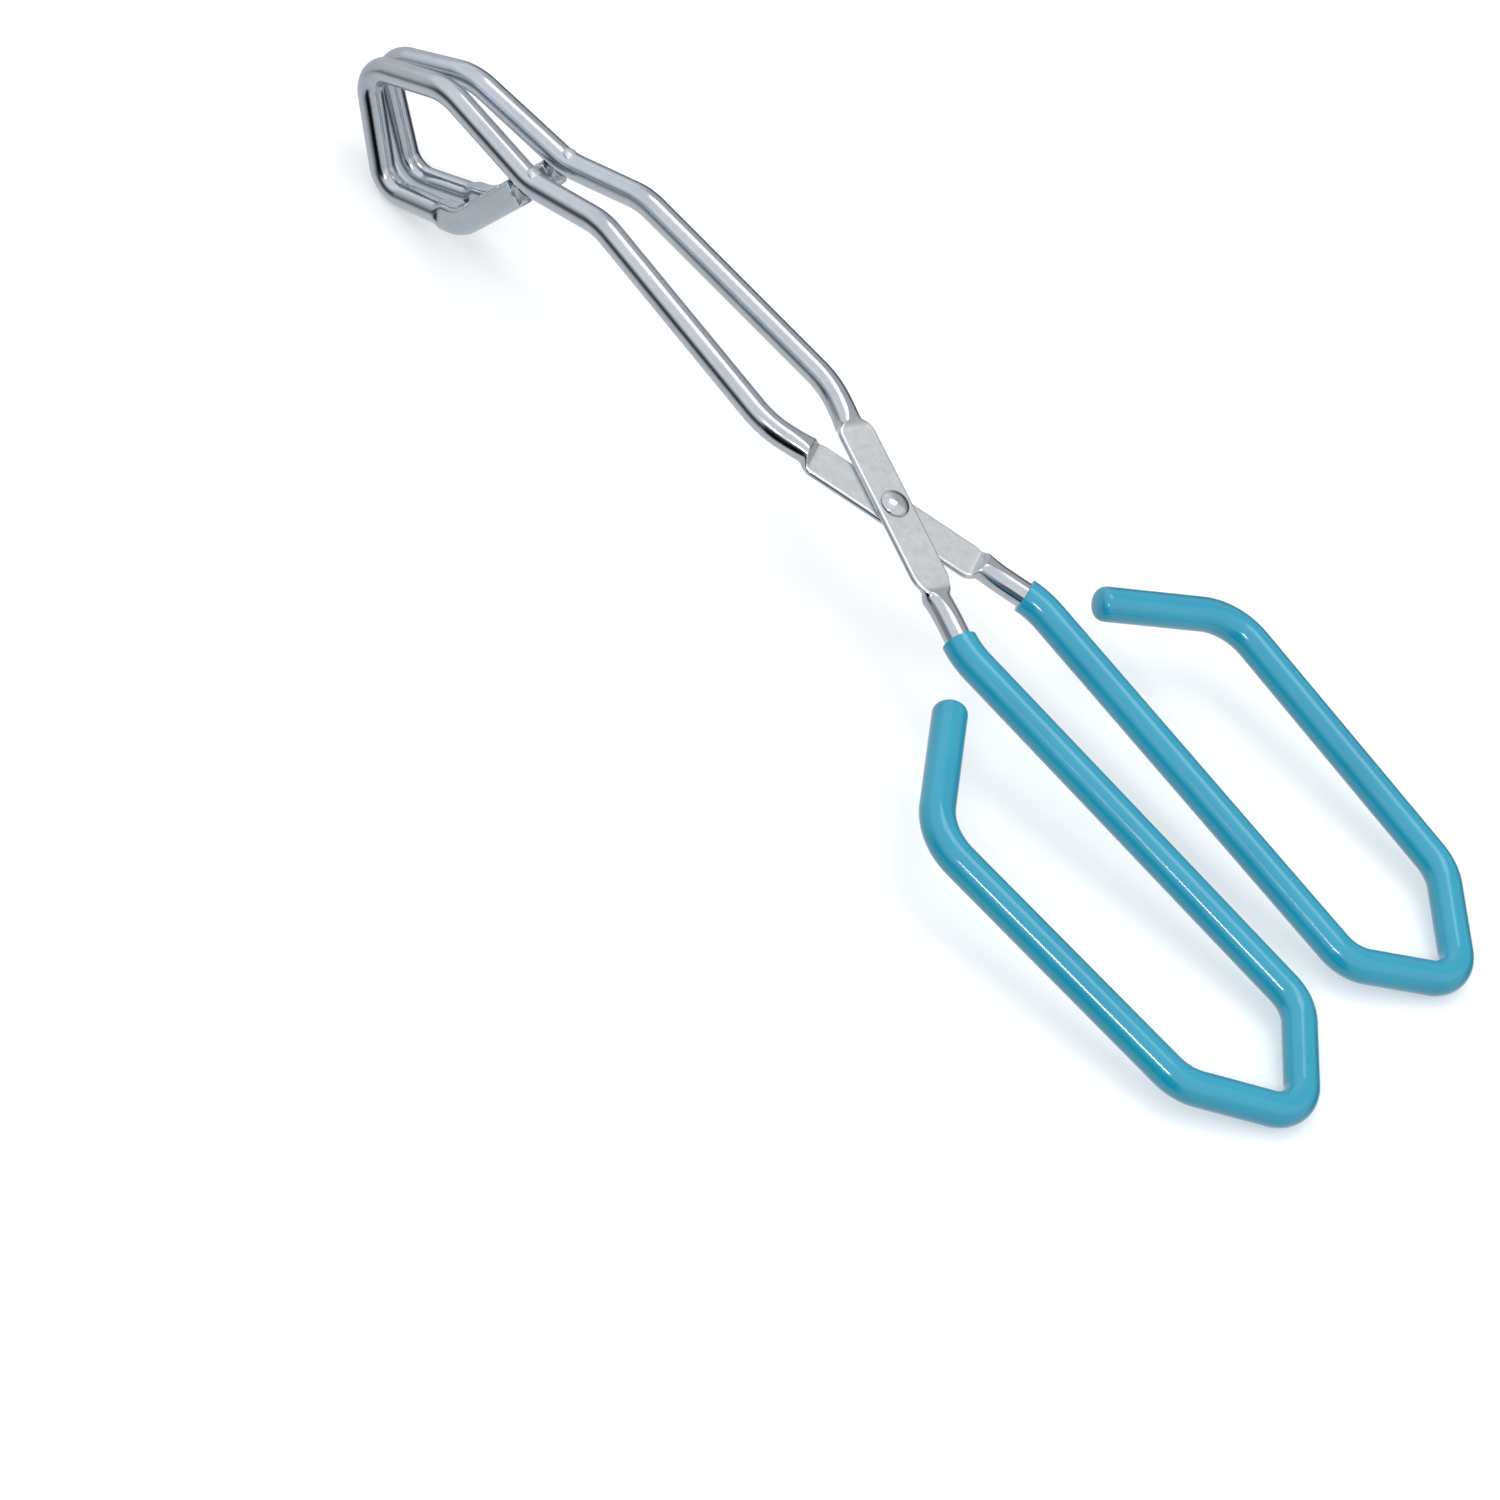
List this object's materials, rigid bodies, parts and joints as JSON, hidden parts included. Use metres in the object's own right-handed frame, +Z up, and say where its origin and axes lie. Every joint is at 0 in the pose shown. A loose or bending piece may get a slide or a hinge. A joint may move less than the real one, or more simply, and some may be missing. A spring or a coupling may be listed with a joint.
{
  "type": "crucible tongs",
  "caption": "Scissor tongs bent from polished steel tube, crossed on a rivet, with upright wire-loop jaws and large open finger loops dipped in turquoise vinyl.",
  "frame": {"origin": "on the surface the tongs lie on, under the middle of their bounding box", "axes": "+X from the finger loops to the jaws, +Y to the user's left, +Z up from the surface; the tongs rest on both jaw bottoms and both finger-loop tips with the jaws closed, so the plane they turn in leans nose up by about nine degrees"},
  "size_m": [0.3172, 0.1186, 0.0433],
  "materials": {
    "polished_steel": "polished",
    "pressed_steel": "satin",
    "rivet_steel": "polished",
    "weld": "satin",
    "vinyl": "gloss"
  },
  "bodies": {
    "rivet": {"rivet": "rivet_steel"},
    "lower_half": {"lower_pivot_plate": "pressed_steel", "left_jaw_arm": "polished_steel", "left_jaw_loop": "polished_steel", "left_jaw_tail": "polished_steel", "left_weld_stub": "weld", "left_weld_bead": "weld", "right_neck": "polished_steel", "right_handle_core": "polished_steel", "right_grip": "vinyl"},
    "upper_half": {"upper_pivot_plate": "pressed_steel", "right_jaw_arm": "polished_steel", "right_jaw_loop": "polished_steel", "right_jaw_tail": "polished_steel", "right_weld_stub": "weld", "right_weld_bead": "weld", "left_neck": "polished_steel", "left_handle_core": "polished_steel", "left_grip": "vinyl"}
  },
  "joints": [
    {"name": "lower_half_hinge", "type": "hinge", "parent": "rivet", "child": "lower_half", "pos_m": [-0.00107, 0, 0.02726], "axis": [-0.15, 0, 0.9887], "range_deg": [0, 30]},
    {"name": "upper_half_hinge", "type": "hinge", "parent": "rivet", "child": "upper_half", "pos_m": [-0.00107, 0, 0.02726], "axis": [-0.15, 0, 0.9887], "range_deg": [-30, 0]}
  ],
  "couplings": [
    {"joint": "upper_half_hinge", "follows": "lower_half_hinge", "ratio": -1}
  ]
}
